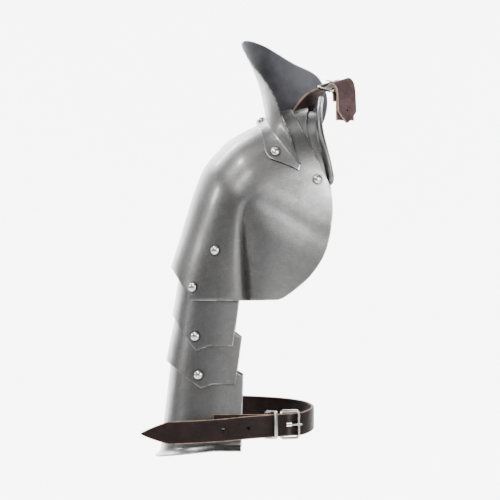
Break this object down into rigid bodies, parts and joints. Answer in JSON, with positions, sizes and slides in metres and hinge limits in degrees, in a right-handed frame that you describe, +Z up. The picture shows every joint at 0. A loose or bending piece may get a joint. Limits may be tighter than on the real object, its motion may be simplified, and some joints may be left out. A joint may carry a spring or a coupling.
{
  "type": "pauldron",
  "caption": "Articulated steel shoulder guard with a domed, winged cop, a standing haute-piece, lames to the neck and down the arm, and leather straps with buckles.",
  "frame": {"origin": "the point of the wearer's right shoulder, under the crest of the neck lames, which the pauldron sits on", "axes": "+Z up the standing wearer, +X from the arm towards the neck, +Y to the wearer's back, so -Y faces forward"},
  "size_m": [0.171, 0.1426, 0.3311],
  "materials": {
    "steel": "weathered grey with a soft satin shine",
    "nickel": "bright nickel plate",
    "arm_leather": "dark red-brown with pale cut edges",
    "shoulder_leather": "dusty pinkish brown with pale cut edges"
  },
  "bodies": {
    "shoulder": {"cop": "steel", "haute_piece": "steel", "rivet_cop_front": "nickel", "rivet_cop_rear": "nickel", "rivet_upper_front": "nickel", "rivet_upper_rear": "nickel", "rivet_neck_front": "nickel", "rivet_neck_rear": "nickel", "rivet_guard_front": "nickel", "rivet_guard_rear": "nickel", "rivet_guard_crest": "nickel", "rivet_shoulder_strap": "nickel", "shoulder_strap": "shoulder_leather", "shoulder_chape": "shoulder_leather", "shoulder_buckle": "nickel", "shoulder_prong": "nickel"},
    "neck_outer": {"neck_lame_outer": "steel"},
    "neck_inner": {"neck_lame_inner": "steel"},
    "arm_upper": {"arm_lame_upper": "steel", "rivet_middle_front": "nickel", "rivet_middle_rear": "nickel"},
    "arm_middle": {"arm_lame_middle": "steel", "rivet_lower_front": "nickel", "rivet_lower_rear": "nickel"},
    "arm_lower": {"arm_lame_lower": "steel", "arm_strap": "arm_leather", "arm_chape": "arm_leather", "arm_buckle": "nickel", "arm_prong": "nickel", "arm_keeper": "nickel", "rivet_arm_chape": "nickel", "rivet_arm_strap": "nickel"}
  },
  "joints": [
    {"name": "neck_outer_turn", "type": "hinge", "parent": "shoulder", "child": "neck_outer", "pos_m": [0.0083, 0, -0.0564], "axis": [0, 1, 0], "range_deg": [0, 5]},
    {"name": "neck_inner_turn", "type": "hinge", "parent": "shoulder", "child": "neck_inner", "pos_m": [0.0083, 0, -0.0564], "axis": [0, 1, 0], "range_deg": [0, 5]},
    {"name": "arm_upper_turn", "type": "hinge", "parent": "shoulder", "child": "arm_upper", "pos_m": [-0.0898, 0, -0.1415], "axis": [0, 1, 0], "range_deg": [0, 8]},
    {"name": "arm_middle_turn", "type": "hinge", "parent": "arm_upper", "child": "arm_middle", "pos_m": [-0.0878, 0, -0.18], "axis": [0, 1, 0], "range_deg": [0, 8]},
    {"name": "arm_lower_turn", "type": "hinge", "parent": "arm_middle", "child": "arm_lower", "pos_m": [-0.0854, 0, -0.2104], "axis": [0, 1, 0], "range_deg": [0, 8]}
  ]
}
